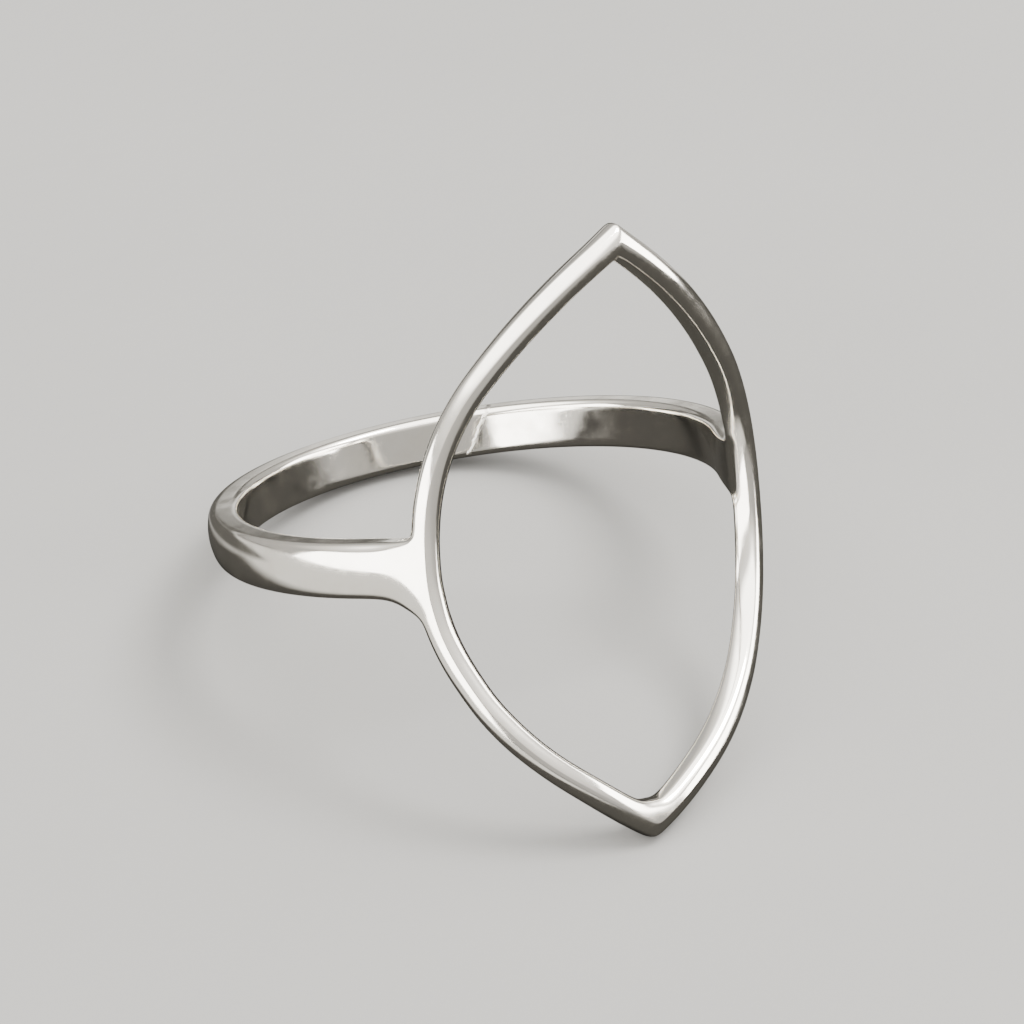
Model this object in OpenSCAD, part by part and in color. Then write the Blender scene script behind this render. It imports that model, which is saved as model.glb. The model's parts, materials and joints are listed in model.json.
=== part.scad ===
// Open navette ring: a round band whose ends carry a pointed oval frame, all in one metal

/* [Finger] */
// Inside diameter of the band
finger_d = 17.3; // [14:0.1:22]

/* [Band] */
// Thickness of the band at the crown of its dome
band_t = 1.15; // [0.9:0.05:2]
// Height of the dome over the rims of the band
band_dome = 0.2; // [0.05:0.01:0.4]
// Width of the band behind the finger
back_w = 1.7; // [1.2:0.05:3]
// Width of the band where it meets the shoulders
front_w = 1.9; // [1.2:0.05:3]

/* [Navette] */
// Length of the navette from tip to tip
navette_l = 21; // [15:0.1:30]
// Width of the navette, measured round its curve
navette_w = 16.2; // [12:0.1:20]
// Fullness of its sides: 2 is a parabola, and more is blunter
fullness = 2.25; // [2:0.05:2.6]
// Radius that the front of the navette is bent to, from side to side
bend_r = 11.2; // [9:0.1:14]
// Distance from the finger's axis to the front of the navette
front_r = 9.65; // [9:0.05:12]

/* [Bar of the navette] */
// Width of the bar at the middle of each side
bar_w = 0.9; // [0.7:0.05:1.6]
// Length of the bar at each tip, along the navette
tip_w = 1.15; // [0.9:0.05:2.4]
// Depth of the bar, towards the finger
bar_d = 0.85; // [0.7:0.05:1.6]
// Height of the dome on the bar's front
bar_dome = 0.2; // [0.05:0.01:0.35]
// Bevel on the two back edges of the bar
bar_bevel = 0.12; // [0.05:0.01:0.25]

/* [Set of the navette on the band] */
// Turn of the navette in its own face
navette_turn = 8.5; // [-12:0.5:12]
// Lean of its upper tip towards the back
navette_lean = 4.5; // [-8:0.5:8]
// How far its middle lies below the middle of the band
navette_drop = 0.3; // [0:0.1:1.5]

/* [Shoulders] */
// Radius of the four fillets between the band and the navette
fillet_r = 1.1; // [0.6:0.1:2]
// Thickness of the metal in the fillets, in from the rims of the band
fillet_t = 0.5; // [0.3:0.05:0.8]
// How far the ends of the band stay back behind the bar's inner edge
end_tuck = 0.2; // [0.1:0.05:0.4]
// How far the posts that carry the bar reach into it
post_lap = 0.2; // [0.1:0.05:0.3]
// How far the posts stay in from the rims of the band
post_inset = 0.05; // [0.02:0.01:0.2]

/* [Rest] */
// Where the lower rim touches the surface, in degrees round from the front
rest_a = 169; // [150:1:195]

/* [Hidden] */
$fn = 96;

finger_r = finger_d / 2;
crown_r = finger_r + band_t;
rim_r = crown_r - band_dome;
dome_r = (pow(front_w / 2, 2) + pow(band_dome, 2)) / (2 * band_dome);
half_l = navette_l / 2;
half_w = navette_w / 2;
bend_y = bend_r - front_r;

// Stations along each side of the bar, and steps across the dome of its front
side_steps = 36;
dome_steps = 6;
// Share of its ellipse that the dome takes up before the flanks cut it
dome_share = 0.95;

// The bar's section: [share of the way in from the outer edge, depth behind the crown]
section = concat(
    [for (i = [0 : dome_steps]) let(x = dome_share * (2 * i / dome_steps - 1))
        [i / dome_steps, bar_dome * (1 - sqrt(1 - x * x))]],
    [[1, bar_d - bar_bevel], [1 - bar_bevel / bar_w, bar_d], [bar_bevel / bar_w, bar_d], [0, bar_d - bar_bevel]]);

// A point of the bar before the navette is set: t runs from 1 at the upper tip to -1 at the lower one
function bar_point(side, t, p) = let(
    l = half_l - p[0] * tip_w,
    w = half_w - p[0] * bar_w,
    around = side * w * (1 - pow(abs(t), fullness)) / bend_r * 180 / PI,
    r = bend_r - p[1])
    [r * sin(around), bend_y - r * cos(around), l * t];

// The turn, the lean and the drop that set the navette on the band
function turned(p) =
    [p[0] * cos(navette_turn) + p[2] * sin(navette_turn), p[1], p[2] * cos(navette_turn) - p[0] * sin(navette_turn)];
function leaned(p) = let(y = p[1] + crown_r)
    [p[0], y * cos(navette_lean) + p[2] * sin(navette_lean) - crown_r, p[2] * cos(navette_lean) - y * sin(navette_lean)];
function set_on_band(p) = leaned(turned(p)) - [0, 0, navette_drop];

// Stations round the whole bar, from the upper tip down one side and up the other: [side, t]
stations = concat(
    [for (i = [0 : side_steps]) [1, 1 - 2 * i / side_steps]],
    [for (i = [1 : side_steps - 1]) [-1, -1 + 2 * i / side_steps]]);
bar_points = [for (s = stations) for (p = section) set_on_band(bar_point(s[0], s[1], p))];

// The band's ends stop at this angle from the front, just behind the bar's inner edge
inner_edge = bar_point(1, 0, [1, bar_d]);
end_a = atan2(inner_edge[0], -inner_edge[1]) + end_tuck / finger_r * 180 / PI;
// The angle from the front at which the outer edge of the bar meets the band, and the fillets' own
outer_edge = bar_point(1, 0, [0, bar_dome]);
outer_a = atan2(outer_edge[0], -outer_edge[1]);
fillet_a = outer_a + fillet_r / crown_r * 180 / PI;
// The posts reach from the ends of the band out to the back of the bar, wherever the bar stands
back_edge = bar_point(1, 0, [0, bar_d - bar_bevel]);
post_points = [
    polar(rim_r - fillet_t, end_a), polar(norm([inner_edge[0], inner_edge[1]]) + post_lap, end_a),
    polar(norm([back_edge[0], back_edge[1]]) + post_lap, outer_a), polar(rim_r, fillet_a), polar(rim_r - fillet_t, fillet_a)];

// A point at a radius, and at an angle from the front towards the right
function polar(r, a) = [r * sin(a), -r * cos(a)];
// Width of the band at an angle from the front
function width_at(a) = front_w + (back_w - front_w) * (1 - cos(a)) / 2;
// Radius of the band's outer face at a height above or below its middle
function outside_at(z) = crown_r - dome_r + sqrt(pow(dome_r, 2) - pow(z, 2));

// At rest the lower tip and the lower rim of the band touch the surface
tip_points = [for (p = section) set_on_band(bar_point(1, -1, p))];
tip = set_on_band(bar_point(1, -1, [0, bar_d - bar_bevel]));
touch_z = -width_at(rest_a) / 2;
rim_touch = [outside_at(touch_z) * sin(rest_a), -outside_at(touch_z) * cos(rest_a), touch_z];
normal = cross([cos(rest_a), sin(rest_a), 0], rim_touch - tip);
up = normal / norm(normal) * sign(normal[2]);
tilt_x = atan2(up[1], up[2]);
tilt_y = -atan2(up[0], norm([up[1], up[2]]));
lift = -min([for (p = tip_points) p * up]);
function at_rest(p) = let(
    y = p[1] * cos(tilt_x) - p[2] * sin(tilt_x),
    z = p[1] * sin(tilt_x) + p[2] * cos(tilt_x))
    [p[0] * cos(tilt_y) + z * sin(tilt_y), y, z * cos(tilt_y) - p[0] * sin(tilt_y)];

// The origin lies under the middle of the ring, from its foremost to its rearmost point
front_y = min([for (p = bar_points) at_rest(p)[1]]);
back_y = max([for (a = [135 : 225]) for (f = [-1 : 0.25 : 1]) let(z = f * width_at(a) / 2, r = outside_at(z))
    at_rest([r * sin(a), -r * cos(a), z])[1]]);

// The flat inside, the domed outside and the rims of the band, at its full width
module band_profile() {
    intersection() {
        translate([finger_r, -front_w / 2]) square([band_t, front_w]);
        translate([crown_r - dome_r, 0]) circle(r = dome_r);
    }
}

// The tapering sides of the band, as a block that is cut to the width at the front and the back
module band_taper() {
    rotate([90, 0, 90]) linear_extrude(4 * crown_r, center = true)
        polygon([[-crown_r, -front_w / 2], [crown_r, -back_w / 2], [crown_r, back_w / 2], [-crown_r, front_w / 2]]);
}

module band() {
    color("silver") intersection() {
        rotate([0, 0, -90 + end_a]) rotate_extrude(angle = 360 - 2 * end_a) band_profile();
        band_taper();
    }
}

// One shoulder: the band spreads up and down into the bar, with a round fillet at each corner
module shoulder(side) {
    h = front_w + 2 * fillet_r;
    color("silver") difference() {
        rotate([0, 0, side > 0 ? -90 + end_a : -90 - fillet_a]) rotate_extrude(angle = fillet_a - end_a)
            translate([rim_r - fillet_t, -h / 2]) square([fillet_t, h]);
        for (z = [-1, 1])
            rotate([0, 0, side * fillet_a]) translate([0, -finger_r, z * h / 2]) rotate([90, 0, 0])
                cylinder(r = fillet_r, h = 4 * band_t, center = true);
    }
    color("silver") mirror([side > 0 ? 0 : 1, 0, 0])
        linear_extrude(width_at(fillet_a) - 2 * post_inset, center = true) polygon(post_points);
}

// The bar of the navette, swept once round both sides with mitred tips
module navette() {
    n = len(stations);
    k = len(section);
    faces = [for (i = [0 : n - 1]) for (j = [0 : k - 1])
        [i * k + j, (i + 1) % n * k + j, (i + 1) % n * k + (j + 1) % k, i * k + (j + 1) % k]];
    color("silver") polyhedron(bar_points, faces, convexity = 6);
}

module ring() {
    translate([0, -(front_y + back_y) / 2, lift]) rotate([tilt_x, tilt_y, 0]) union() {
        band();
        shoulder(1);
        shoulder(-1);
        navette();
    }
}

ring();
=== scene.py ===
import bpy
import json
from math import radians, sin, cos, asin, atan2
from mathutils import Matrix, Vector


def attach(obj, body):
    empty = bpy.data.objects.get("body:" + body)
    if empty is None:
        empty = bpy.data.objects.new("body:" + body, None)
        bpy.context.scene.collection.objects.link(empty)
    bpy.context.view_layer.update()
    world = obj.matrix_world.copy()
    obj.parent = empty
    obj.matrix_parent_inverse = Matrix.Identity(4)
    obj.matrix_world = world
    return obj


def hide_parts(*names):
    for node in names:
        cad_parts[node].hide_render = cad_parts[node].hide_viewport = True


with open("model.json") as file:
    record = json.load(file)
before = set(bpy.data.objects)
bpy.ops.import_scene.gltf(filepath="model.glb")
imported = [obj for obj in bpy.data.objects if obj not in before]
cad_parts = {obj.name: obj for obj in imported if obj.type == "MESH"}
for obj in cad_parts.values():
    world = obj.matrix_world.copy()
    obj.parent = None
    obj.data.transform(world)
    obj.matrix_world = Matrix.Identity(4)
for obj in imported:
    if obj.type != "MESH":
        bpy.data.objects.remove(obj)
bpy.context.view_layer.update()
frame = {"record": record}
fingerHole = frame["record"]["mounts"][0]
metres = 0.001  # the ring is modelled in millimetres round the finger's axis, then laid down
near = 0.01  # mm that a point may be off the place it is picked by
weld = 0.001  # mm within which two points become one


# helpers for working as by hand

def deselectAll():
    if bpy.context.object and bpy.context.object.mode != "OBJECT":
        bpy.ops.object.mode_set(mode="OBJECT")
    bpy.ops.object.select_all(action="DESELECT")


def makeActive(piece):
    deselectAll()
    piece.select_set(True)
    bpy.context.view_layer.objects.active = piece


def movePiece(piece, shift=(0, 0, 0), turn=(0, 0, 0), size=1):  # turns, shifts and applies both
    makeActive(piece)
    piece.location = shift
    piece.rotation_euler = turn
    piece.scale = (size, size, size)
    bpy.ops.object.transform_apply(location=True, rotation=True, scale=True)


def editAll(piece):
    makeActive(piece)
    bpy.ops.object.mode_set(mode="EDIT")
    bpy.ops.mesh.select_all(action="SELECT")


def pick(piece, kind, test):  # selects points, edges or faces by their middle, in edit mode
    editAll(piece)
    bpy.ops.mesh.select_mode(type=kind)
    bpy.ops.mesh.select_all(action="DESELECT")
    bpy.ops.object.mode_set(mode="OBJECT")
    mesh = piece.data
    if kind == "VERT":
        for v in mesh.vertices:
            v.select = test(v.co)
    elif kind == "EDGE":
        for e in mesh.edges:
            ends = [mesh.vertices[i].co for i in e.vertices]
            e.select = test((ends[0] + ends[1]) / 2)
    else:
        for f in mesh.polygons:
            f.select = test(f.center)
    bpy.ops.object.mode_set(mode="EDIT")


def runModifier(piece, kind, **values):
    makeActive(piece)
    modifier = piece.modifiers.new(kind.title(), kind)
    for key, value in values.items():
        setattr(modifier, key, value)
    bpy.ops.object.modifier_apply(modifier=modifier.name)


def addSection(name, middle, turn, size):  # a flat rectangle, as the start of a bar
    deselectAll()
    bpy.ops.mesh.primitive_plane_add(size=1, location=middle, rotation=turn)
    section = bpy.context.object
    section.name = name
    bpy.ops.object.transform_apply(location=True, rotation=True, scale=True)
    editAll(section)
    bpy.ops.transform.resize(value=size, center_override=middle)
    return section


def roundCorners(section, test, offset, segments):
    pick(section, "VERT", test)
    bpy.ops.mesh.bevel(offset=offset, segments=segments, affect="VERTICES")


def openSection(section):  # leaves only the outline of the section
    editAll(section)
    bpy.ops.mesh.delete(type="ONLY_FACE")


# the band: a section at the back of the finger, spun to one shoulder and mirrored

band = {
    "fingerRadius": 8.63,  # this and the sizes below are of the cage, which smoothing draws in
    "thickness": 1.2,
    "dome": 0.2,
    "domeShares": (0.98, 0.74, 0.26),  # how far each strip rises to it, from the middle outwards
    "width": 1.9,  # at the level of the finger's axis
    "taper": 0.1,  # how much slimmer it is behind than in front
    "rimRound": 0.13,
    "strips": 5,  # across its inner and its outer side
    "rimStrips": 4,
    "shoulderAngle": 54,  # from the front, where the band starts to spread
    "steps": 14,
    "endAngle": 43.4,  # where its inner side ends, flush with the inner flank of the navette's bar
    "slants": (1, 0.5, 0.2),  # how much of that slant the last sections have
}


def makeBand():
    v = band
    wall = v["thickness"] - v["dome"]
    middle = v["fingerRadius"] + wall / 2
    outside = v["fingerRadius"] + wall
    section = addSection("band", (0, middle, 0), (0, radians(90), 0), (1, wall, v["width"]))
    roundCorners(section, lambda p: True, v["rimRound"], 1)
    openSection(section)
    pick(section, "EDGE", lambda p: abs(abs(p.y - middle) - wall / 2) < near)
    bpy.ops.mesh.subdivide(number_cuts=v["strips"] - 1)
    pick(section, "EDGE", lambda p: abs(p.y - middle) < near)
    bpy.ops.mesh.subdivide(number_cuts=v["rimStrips"] - 1)
    # the outer side rises to the dome
    strip = (v["width"] - 2 * v["rimRound"]) / v["strips"]
    for n, share in enumerate(v["domeShares"]):
        height = strip * (n + 0.5)
        pick(section, "VERT", lambda p: abs(p.y - outside) < near
             and abs(abs(p.z) - height) < 2 * near)
        bpy.ops.transform.translate(value=(0, v["dome"] * share, 0))
    editAll(section)
    turn = radians(180 - v["shoulderAngle"])
    bpy.ops.mesh.spin(steps=v["steps"], angle=turn, center=(0, 0, 0), axis=(0, 0, -1))
    # the inner side runs on to the navette, so the last sections slant
    step = turn / v["steps"]
    reach = radians(v["shoulderAngle"] - v["endAngle"])
    rimStrip = (wall - 2 * v["rimRound"]) / v["rimStrips"]
    depths = [0] + [v["rimRound"] + n * rimStrip for n in range(v["rimStrips"] + 1)]
    for n, slant in enumerate(v["slants"]):
        angle = radians(v["shoulderAngle"]) + n * step
        for depth in depths:
            radius = v["fingerRadius"] + depth
            pick(section, "VERT", lambda p: abs(atan2(p.x, -p.y) - angle) < step * 0.2
                 and abs(p.xy.length - radius) < 2 * near)
            ahead = reach * slant * (1 - depth / wall)
            bpy.ops.transform.rotate(value=ahead, orient_axis="Z", center_override=(0, 0, 0))
    runModifier(section, "MIRROR", merge_threshold=weld)
    runModifier(section, "SIMPLE_DEFORM", deform_method="TAPER", deform_axis="Y", lock_x=True,
                factor=-v["taper"])
    print("band modelled")
    return section


# the navette: a bar spun flat through the two arcs of one quarter, mirrored twice and bent

navette = {
    "halfWidth": 8.15,  # from the middle to the outer edge, measured flat
    "halfLength": 10.5,
    "arcs": [(8.8, 42, 12), (22, 19.5, 7)],  # radius, degrees and steps, from the side to the tip
    "barWidth": 1.0,
    "barDepth": 0.96,
    "frontRound": 0.48,  # how far the dome of the front reaches in from each side
    "dome": 0.36,  # its height
    "backRound": 0.12,
    "fullness": 0.012,  # how much wider the lower half is than the upper one
    "fullBelow": (-0.3, -0.9, -1.5, -2.1),  # heights below which this comes in, share by share
    "bulges": [(-1, 0.15), (1, 0.13)],  # side, and how far each limb swells out near the lower tip
    "bulgeTurn": 48,  # degrees that the swell points down
    "bulgeHeight": -6.5,
    "bulgeHalf": 0.5,  # how far up and down from there it swells in full
    "bulgeReach": 2.8,
    "tipCreases": (0.7, 0.35),  # upper and lower
    "tipRise": 0.1,  # how much the outer corner of the upper tip is drawn out
    "tipFill": 0.3,  # how much the lower inner corner is filled with solder
    "tipReach": (0.3, 0.7),  # how far in the one corner ends and the other begins
    "corner": 3.3,  # degrees that the right shoulder's lower corner is drawn up round its arc
    "cornerReach": 2.4,
    "shoulders": [(1, 0.4, 2.5), (-1, -2.0, 0.5)],  # side, and heights between which it opens
    "frontOpening": 0.25,  # share of the bar's width that opens to the band in front
    "backOpening": 0.97,
    "backFrom": 0.8,  # share of its depth from which a face counts as its back
    "bendRadius": 11.2,
    "front": 9.72,  # from the finger's axis to the front
    "hinge": 9.8,  # the lean turns about this distance in front of the axis
    "turn": 8.5,
    "lean": 4.5,
    "drop": 0.3,
}


def spinQuarter(section):
    angle = 0
    middle = Vector((navette["halfWidth"], 0, 0))
    lastRadius = 0
    editAll(section)
    for radius, turn, steps in navette["arcs"]:
        out = Vector((cos(radians(angle)), 0, sin(radians(angle))))
        middle = middle + out * (lastRadius - radius)
        bpy.ops.mesh.spin(steps=steps, angle=radians(turn), center=middle, axis=(0, 1, 0))
        angle = angle + turn
        lastRadius = radius
    tip = middle + Vector((cos(radians(angle)), 0, sin(radians(angle)))) * radius
    # the last section turns into the mitre plane and is stretched to fill it
    mitre = radians(90 - angle)
    bpy.ops.transform.rotate(value=mitre, orient_axis="Y", center_override=tip)
    bpy.ops.transform.resize(value=(1, 1, 1 / cos(mitre)), center_override=tip)
    bpy.ops.transform.translate(value=(-tip.x, 0, 0))


def shapeLowerHalf(section):  # a little fuller than the upper half, and swelling near the tip
    v = navette
    for height in v["fullBelow"]:
        pick(section, "VERT", lambda p: p.z < height)
        wider = 1 + v["fullness"] / len(v["fullBelow"])
        bpy.ops.transform.resize(value=(wider, 1, 1), center_override=(0, 0, 0))
    down = radians(v["bulgeTurn"])
    for side, swell in v["bulges"]:
        pick(section, "VERT", lambda p: p.x * side > 0
             and abs(p.z - v["bulgeHeight"]) < v["bulgeHalf"])
        bpy.ops.transform.translate(value=(side * swell * cos(down), 0, -swell * sin(down)),
                                    use_proportional_edit=True,
                                    proportional_edit_falloff="SMOOTH",
                                    proportional_size=v["bulgeReach"])


def shapeTips(section):  # the mitres stay crisp, the lower one less so
    v = navette
    outside, inside = v["tipReach"]
    pick(section, "VERT", lambda p: abs(p.x) < near and p.z > v["halfLength"] - outside)
    bpy.ops.transform.translate(value=(0, 0, v["tipRise"]))
    for crease, side in zip(v["tipCreases"], (1, -1)):
        pick(section, "EDGE", lambda p: abs(p.x) < near and p.z * side > 0)
        bpy.ops.transform.edge_crease(value=crease)
    # solder fills the lower inner corner and leaves it soft
    lowest = inside - v["halfLength"]
    pick(section, "VERT", lambda p: abs(p.x) < near and lowest < p.z < 0)
    bpy.ops.transform.translate(value=(0, 0, v["tipFill"]))
    pick(section, "EDGE", lambda p: abs(p.x) < near and lowest < p.z < 0)
    bpy.ops.transform.edge_crease(value=-1)


def opensToBand(p):  # the outer part of the bar's front, its outer flank and its back
    v = navette
    radius = v["arcs"][0][0]
    inwards = radius - Vector((abs(p.x) - v["halfWidth"] + radius, p.z)).length
    isBack = p.y > v["barDepth"] * v["backFrom"]
    return inwards < v["barWidth"] * (v["backOpening"] if isBack else v["frontOpening"])


def makeNavette():
    v = navette
    middle = (v["halfWidth"] - v["barWidth"] / 2, v["barDepth"] / 2, 0)
    section = addSection("navette", middle, (0, 0, 0), (v["barWidth"], v["barDepth"], 1))
    roundCorners(section, lambda p: p.y < near, v["frontRound"], 3)
    roundCorners(section, lambda p: p.y > v["barDepth"] - near, v["backRound"], 1)
    openSection(section)
    pick(section, "VERT", lambda p: p.y < v["frontRound"] + near)
    flatter = v["dome"] / v["frontRound"]
    bpy.ops.transform.resize(value=(1, flatter, 1), center_override=(0, 0, 0))
    spinQuarter(section)
    runModifier(section, "MIRROR", use_axis=(True, False, True), merge_threshold=weld)
    shapeLowerHalf(section)
    shapeTips(section)
    pick(section, "VERT", lambda p: p.x > 0 and abs(p.z) < near)
    arcMiddle = (v["halfWidth"] - v["arcs"][0][0], 0, 0)
    bpy.ops.transform.rotate(value=radians(v["corner"]), orient_axis="Y",
                             center_override=arcMiddle, use_proportional_edit=True,
                             proportional_edit_falloff="LINEAR",
                             proportional_size=v["cornerReach"])
    for side, low, high in v["shoulders"]:
        pick(section, "FACE", lambda p: p.x * side > 0 and low < p.z < high and opensToBand(p))
        bpy.ops.mesh.delete(type="FACE")
    bend = v["halfWidth"] * 2 / v["bendRadius"]
    runModifier(section, "SIMPLE_DEFORM", deform_method="BEND", deform_axis="Z", angle=bend)
    movePiece(section, (0, v["hinge"] - v["front"], 0), (0, radians(v["turn"]), 0))
    movePiece(section, (0, -v["hinge"], -v["drop"]), (-radians(v["lean"]), 0, 0))
    print("navette modelled")
    return section


# the ring: the two are joined, the shoulders bridged and the whole smoothed

ring = {
    "fillets": 1,  # loops across each shoulder
    "smoothLevels": 3,
}


def pickOpenEdges(piece, side):  # the open edges of the band and the navette on one side
    editAll(piece)
    bpy.ops.mesh.select_mode(type="EDGE")
    bpy.ops.mesh.select_all(action="DESELECT")
    bpy.ops.mesh.select_non_manifold(use_wire=False, use_multi_face=False,
                                     use_non_contiguous=False, use_verts=False)
    bpy.ops.object.mode_set(mode="OBJECT")
    points = piece.data.vertices
    for e in piece.data.edges:
        e.select = e.select and points[e.vertices[0]].co.x * side > 0
    bpy.ops.object.mode_set(mode="EDIT")


def makeRing():
    whole = makeBand()
    frameBar = makeNavette()
    makeActive(whole)
    frameBar.select_set(True)
    bpy.ops.object.join()
    whole.name = "silver_ring"
    for side in (1, -1):
        pickOpenEdges(whole, side)
        bpy.ops.mesh.bridge_edge_loops(number_cuts=ring["fillets"], interpolation="LINEAR")
    print("shoulders bridged")
    editAll(whole)
    bpy.ops.mesh.remove_doubles(threshold=weld)
    bpy.ops.mesh.normals_make_consistent(inside=False)
    levels = ring["smoothLevels"]
    runModifier(whole, "SUBSURF", levels=levels, render_levels=levels)
    makeActive(whole)
    bpy.ops.object.shade_smooth()
    print("ring joined:", len(whole.data.polygons), "faces")
    return whole


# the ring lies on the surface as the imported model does

def layDown(whole):
    up = -Vector(fingerHole["axis"])
    tilt = (-asin(up.y), atan2(up.x, up.z), 0)
    movePiece(whole, fingerHole["pos_m"], tilt, metres)
    print("ring laid down at", [round(c, 5) for c in fingerHole["pos_m"]])
    return tilt


# helpers for materials

def feed(tree, value, socket):  # links another node's output, or sets a plain value
    if hasattr(value, "links"):
        tree.links.new(value, socket)
    else:
        socket.default_value = value


def addNode(tree, kind, place, **values):  # sockets by name, and settings by name
    node = tree.nodes.new(kind)
    node.location = place
    for key, value in values.items():
        if key in node.inputs:
            feed(tree, value, node.inputs[key])
        else:
            setattr(node, key, value)
    return node


def addMath(tree, operation, place, *values):
    node = addNode(tree, "ShaderNodeMath", place, operation=operation)
    for socket, value in zip(node.inputs, values):
        feed(tree, value, socket)
    return node.outputs[0]


def addRange(tree, place, value, start, end, low=0.0, high=1.0):  # start to end gives low to high
    limits = {"From Min": start, "From Max": end, "To Min": low, "To Max": high}
    return addNode(tree, "ShaderNodeMapRange", place, Value=value, **limits).outputs[0]


def addMix(tree, place, factor, first, second):
    node = addNode(tree, "ShaderNodeMix", place, data_type="RGBA", Factor=factor)
    feed(tree, first, node.inputs[6])  # its sockets for colours are 6, 7 and, going out, 2
    feed(tree, second, node.inputs[7])
    return node.outputs[2]


# polished silver

silverLook = {
    "color": (0.95, 0.92, 0.86, 1),
    "dullColor": (0.87, 0.836, 0.765, 1),
    "roughness": (0.06, 0.2),  # where it is best polished, and where least
    "waveSize": 3.2,  # mm, of the slow waves that a polishing wheel leaves
    "waveHeight": 0.012,
    "cloudScale": 0.9,  # per mm
    "cloudRange": (0.35, 0.7),  # of the noise, from bright to dull
    "scratchTurns": ((0.3, 0.5, 0.2), (1.2, -0.4, 0.9)),
    "scratchScale": (1.2, 26, 26),  # per mm, along and across
    "scratchRange": (0.62, 0.75),
    "scratchHeight": 0.00025,
    "scratchDulling": 0.35,
    "seamAngle": 145.5,  # round from the front to the right, where the band was soldered
    "seamLean": 3.7,  # degrees per mm of height
    "seamWander": 0.06,
    "seamWidth": 0.09,
    "seamHeight": 0.012,
}


def makePolishMarks():  # scratches in two directions, slow waves and dull clouds, measured in mm
    v = silverLook
    group = bpy.data.node_groups.new("polishMarks", "ShaderNodeTree")
    group.interface.new_socket("Vector", in_out="INPUT", socket_type="NodeSocketVector")
    group.interface.new_socket("Wave Size", in_out="INPUT", socket_type="NodeSocketFloat")
    for name in ("Waves", "Scratches", "Clouds"):
        group.interface.new_socket(name, in_out="OUTPUT", socket_type="NodeSocketFloat")
    start = addNode(group, "NodeGroupInput", (-900, 0))
    end = addNode(group, "NodeGroupOutput", (700, 0))
    place = start.outputs["Vector"]
    scale = addMath(group, "DIVIDE", (-700, 200), 1.0, start.outputs["Wave Size"])
    waves = addNode(group, "ShaderNodeTexNoise", (-500, 200), Vector=place, Scale=scale,
                    Detail=1.5, Roughness=0.4)
    clouds = addNode(group, "ShaderNodeTexNoise", (-500, -500), Vector=place,
                     Scale=v["cloudScale"], Detail=5, Roughness=0.6)
    dull = addRange(group, (-300, -500), clouds.outputs["Fac"], *v["cloudRange"])
    lines = []
    for n, turn in enumerate(v["scratchTurns"]):
        high = -60 - n * 200
        turned = addNode(group, "ShaderNodeMapping", (-700, high), Vector=place, Rotation=turn,
                         Scale=v["scratchScale"])
        fine = addNode(group, "ShaderNodeTexNoise", (-500, high), Vector=turned.outputs[0],
                       Scale=1, Detail=2, Roughness=0.7)
        lines.append(addRange(group, (-300, high), fine.outputs["Fac"], *v["scratchRange"]))
    scratches = addMath(group, "MAXIMUM", (0, -100), *lines)
    group.links.new(waves.outputs["Fac"], end.inputs["Waves"])
    group.links.new(scratches, end.inputs["Scratches"])
    group.links.new(dull, end.inputs["Clouds"])
    return group


def addRingPlace(tree, tilt):  # mm round the finger's axis, from the piece's Object coordinates
    place = addNode(tree, "ShaderNodeTexCoord", (-1600, 0))
    laid = addNode(tree, "ShaderNodeMapping", (-1400, 0), vector_type="TEXTURE",
                   Vector=place.outputs["Object"], Location=fingerHole["pos_m"], Rotation=tilt,
                   Scale=(metres, metres, metres))
    return laid.outputs[0]


def addSeam(tree, place):  # a faint line of solder across the inside of the band
    v = silverLook
    axes = addNode(tree, "ShaderNodeSeparateXYZ", (-1150, -500), Vector=place)
    forward = addMath(tree, "MULTIPLY", (-950, -600), axes.outputs["Y"], -1.0)
    angle = addMath(tree, "ARCTAN2", (-950, -450), axes.outputs["X"], forward)
    lean = addMath(tree, "MULTIPLY", (-950, -750), axes.outputs["Z"], radians(v["seamLean"]))
    away = addMath(tree, "ADD", (-780, -500), angle, lean)
    away = addMath(tree, "SUBTRACT", (-620, -500), away, radians(v["seamAngle"]))
    wander = addNode(tree, "ShaderNodeTexNoise", (-950, -900), Vector=place, Scale=3.5,
                     Detail=4, Roughness=0.7)
    shift = addMath(tree, "MULTIPLY_ADD", (-780, -900), wander.outputs["Fac"],
                    v["seamWander"], -v["seamWander"] / 2)
    away = addMath(tree, "ADD", (-460, -500), away, shift)
    away = addMath(tree, "ABSOLUTE", (-300, -500), away)
    edge = v["seamWidth"] / band["fingerRadius"]
    return addRange(tree, (-150, -500), away, 0, edge, 1, 0)


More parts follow.
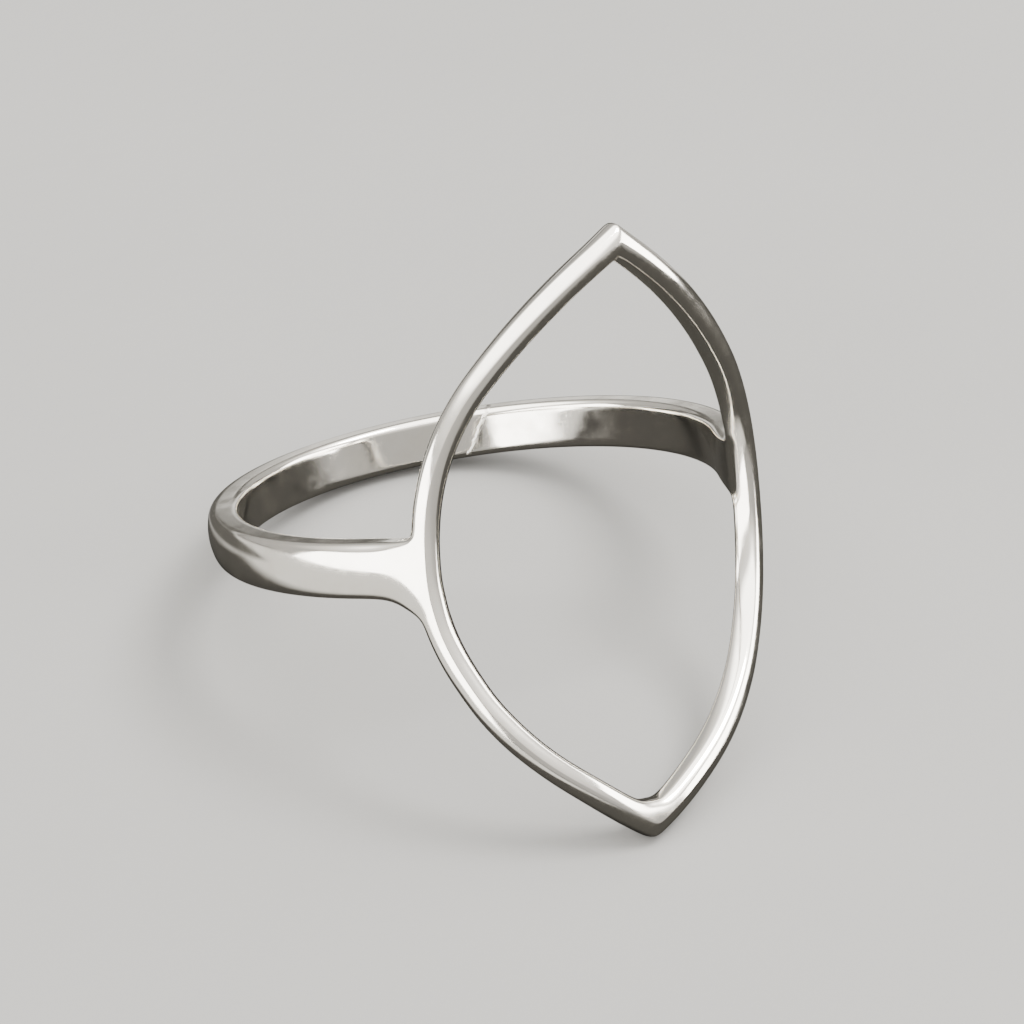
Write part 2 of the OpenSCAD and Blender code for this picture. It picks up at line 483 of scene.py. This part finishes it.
def makeSilver(tilt):
    v = silverLook
    material = bpy.data.materials.new("polished silver")
    material.use_nodes = True
    tree = material.node_tree
    shader = tree.nodes["Principled BSDF"]
    shader.inputs["Metallic"].default_value = 1
    place = addRingPlace(tree, tilt)
    marks = addNode(tree, "ShaderNodeGroup", (-1100, 100), node_tree=makePolishMarks())
    marks.inputs["Wave Size"].default_value = v["waveSize"]
    tree.links.new(place, marks.inputs["Vector"])
    waves, scratches, clouds = marks.outputs
    seam = addSeam(tree, place)
    # colour and roughness follow the clouds, the scratches and the seam
    dull = addMath(tree, "MAXIMUM", (-500, 300), clouds, seam)
    color = addMix(tree, (-300, 450), dull, v["color"], v["dullColor"])
    rough = addMath(tree, "MULTIPLY_ADD", (-500, 100), scratches, v["scratchDulling"], dull)
    roughness = addRange(tree, (-300, 100), rough, 0, 1, *v["roughness"])
    # heights in mm
    waves = addMath(tree, "MULTIPLY", (-500, -100), waves, v["waveHeight"])
    scratches = addMath(tree, "MULTIPLY", (-500, -200), scratches, -v["scratchHeight"])
    ridge = addMath(tree, "MULTIPLY", (-500, -300), seam, v["seamHeight"])
    height = addMath(tree, "ADD", (-300, -150), waves, scratches)
    height = addMath(tree, "ADD", (-150, -200), height, ridge)
    bump = addNode(tree, "ShaderNodeBump", (-150, 0), Strength=1, Distance=metres, Height=height)
    tree.links.new(color, shader.inputs["Base Color"])
    tree.links.new(roughness, shader.inputs["Roughness"])
    tree.links.new(bump.outputs[0], shader.inputs["Normal"])
    print("silver polished")
    return material


# floor, light and camera

studio = {
    "floorColors": ((0.185, 0.186, 0.184, 1), (0.21, 0.211, 0.209, 1)),
    "floorSize": 1.4,
    "floorRoughness": 0.9,
    "patchScale": 40,  # per metre
    "grainScale": 900,
    "grainStrength": 0.4,
    "grainHeight": 0.0001,
    # colour of the painted dark reflections: the floor is painted this dark only where the
    # silver's reflections look
    "paintedReflectionColor": (0.0155, 0.0153, 0.0145, 1),
    "paintedReflectionPatches": [  # middle, size, turn and darkness of the dark patches painted on the floor that only the silver's reflections see: painted dark reflections in the silver
        ((0.3216, -0.2428), (0.6, 0.6), 8, 1),
        ((-0.012, 0.0785), (0.026, 0.131), 0, 0.96),
        ((0.05, 0.0855), (0.1, 0.117), 0, 0.94),
    ],
    # soft edge of the patches of painted dark reflection
    "paintedReflectionEdge": 0.0015,
    "lightColor": (1, 0.97, 0.92),
    "surroundStrength": 6.5,
    # height and brightness of the room round the ring
    "surround": [(0, 0.02), (0.06, 0.09), (0.35, 0.1), (0.62, 0.26), (0.74, 1)],
    "lights": [  # name, azimuth and elevation it stands at, distance, width, height, power
        ("key", 70, 62, 0.4, 0.15, 0.15, 2.8),
        ("left", -80, 11, 0.16, 0.24, 0.09, 0.58),
        ("right", 60, 18, 0.16, 0.12, 0.07, 0.27),
    ],
}

camera = {
    "azimuth": -37.511,  # 0 looks along +Y, and from here the camera stands in front on the left
    "elevation": 39.398,
    "roll": 3.838,
    "target": (0.742, 1.374, 4.583),
    "distance": 130,
    "lens": 127.23,
    "sensor": 36,
    "nearest": 0.01,  # metres, that it sees
}


def directionTo(azimuth, elevation):  # from the ring to a light or the camera
    a = radians(azimuth)
    e = radians(elevation)
    return Vector((sin(a) * cos(e), -cos(a) * cos(e), sin(e)))


def addPaintedReflections(tree, place):  # how dark the floor is painted where the painted dark reflections lie, for the silver's reflections only
    dark = 0.0
    edge = studio["paintedReflectionEdge"]
    for n, (middle, size, turn, darkness) in enumerate(studio["paintedReflectionPatches"]):
        high = 500 + n * 400
        reflectionPatch = addNode(tree, "ShaderNodeMapping", (-1300, high), vector_type="TEXTURE",
                       Vector=place, Location=(*middle, 0), Rotation=(0, 0, radians(turn)))
        axes = addNode(tree, "ShaderNodeSeparateXYZ", (-1100, high), Vector=reflectionPatch.outputs[0])
        for axis, length in zip("XY", size):
            away = addMath(tree, "ABSOLUTE", (-950, high), axes.outputs[axis])
            inside = addRange(tree, (-800, high), away, length / 2 + edge, length / 2 - edge)
            darkness = addMath(tree, "MULTIPLY", (-650, high), inside, darkness)
        dark = addMath(tree, "MAXIMUM", (-500, high), darkness, dark)
    return dark


def makeFloorLook():
    v = studio
    look = bpy.data.materials.new("pale floor")
    look.use_nodes = True
    tree = look.node_tree
    shader = tree.nodes["Principled BSDF"]
    shader.inputs["Roughness"].default_value = v["floorRoughness"]
    shader.inputs["Specular IOR Level"].default_value = 0
    place = addNode(tree, "ShaderNodeTexCoord", (-900, 0)).outputs["Object"]
    grain = addNode(tree, "ShaderNodeTexNoise", (-700, 0), Vector=place,
                    Scale=v["grainScale"], Detail=4, Roughness=0.6)
    patches = addNode(tree, "ShaderNodeTexNoise", (-700, 250), Vector=place,
                      Scale=v["patchScale"], Detail=3)
    ramp = addNode(tree, "ShaderNodeValToRGB", (-400, 250), Fac=patches.outputs["Fac"])
    for stop, tone in zip(ramp.color_ramp.elements, v["floorColors"]):
        stop.color = tone
    bump = addNode(tree, "ShaderNodeBump", (-300, -100), Strength=v["grainStrength"],
                   Distance=v["grainHeight"], Height=grain.outputs["Fac"])
    # painted dark reflections: the silver's reflections see dark patches painted on the floor, and
    # the camera sees only the pale floor
    path = addNode(tree, "ShaderNodeLightPath", (-500, 750))
    dark = addPaintedReflections(tree, place)
    paintedReflectionShare = addMath(tree, "MULTIPLY", (-300, 550), path.outputs["Is Glossy Ray"], dark)
    seen = addMix(tree, (-150, 300), paintedReflectionShare, ramp.outputs["Color"], v["paintedReflectionColor"])
    tree.links.new(seen, shader.inputs["Base Color"])
    tree.links.new(bump.outputs[0], shader.inputs["Normal"])
    return look


def makeSurround():  # a room that is dark at the horizon and brighter above
    world = bpy.context.scene.world or bpy.data.worlds.new("studio")
    bpy.context.scene.world = world
    world.use_nodes = True
    tree = world.node_tree
    sky = tree.nodes["Background"]
    sky.inputs["Strength"].default_value = studio["surroundStrength"]
    place = addNode(tree, "ShaderNodeTexCoord", (-900, 0)).outputs["Generated"]
    axes = addNode(tree, "ShaderNodeSeparateXYZ", (-700, 0), Vector=place)
    ramp = addNode(tree, "ShaderNodeValToRGB", (-500, 0), Fac=axes.outputs["Z"])
    stops = ramp.color_ramp.elements
    for n, (up, bright) in enumerate(studio["surround"]):
        stop = stops[n] if n < 2 else stops.new(up)
        stop.position = up
        stop.color = (*[bright * c for c in studio["lightColor"]], 1)
    tree.links.new(ramp.outputs["Color"], sky.inputs["Color"])


def makeStudio():
    deselectAll()
    bpy.ops.mesh.primitive_plane_add(size=studio["floorSize"], location=(0, 0, 0))
    floor = bpy.context.object
    floor.name = "floor"
    floor.data.materials.append(makeFloorLook())
    target = Vector(camera["target"]) * metres
    for name, azimuth, elevation, distance, width, height, power in studio["lights"]:
        deselectAll()
        away = directionTo(azimuth, elevation)
        bpy.ops.object.light_add(type="AREA", location=target + away * distance)
        light = bpy.context.object
        light.name = name
        light.rotation_euler = away.to_track_quat("Z", "Y").to_euler()
        light.data.shape = "RECTANGLE"
        light.data.size = width
        light.data.size_y = height
        light.data.energy = power
        light.data.color = studio["lightColor"]
    makeSurround()
    print("studio lit")


def makeCamera():
    v = camera
    back = directionTo(v["azimuth"], v["elevation"])
    target = Vector(v["target"]) * metres
    deselectAll()
    bpy.ops.object.camera_add(location=target + back * v["distance"] * metres)
    eye = bpy.context.object
    turn = back.to_track_quat("Z", "Y").to_matrix() @ Matrix.Rotation(radians(v["roll"]), 3, "Z")
    eye.rotation_euler = turn.to_euler()
    eye.data.lens = v["lens"]
    eye.data.sensor_width = v["sensor"]
    eye.data.clip_start = v["nearest"]
    bpy.context.scene.camera = eye
    print("camera set")


whole = makeRing()
tilt = layDown(whole)
whole.data.materials.clear()
whole.data.materials.append(makeSilver(tilt))
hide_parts("ring")
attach(whole, "root")
makeStudio()
makeCamera()
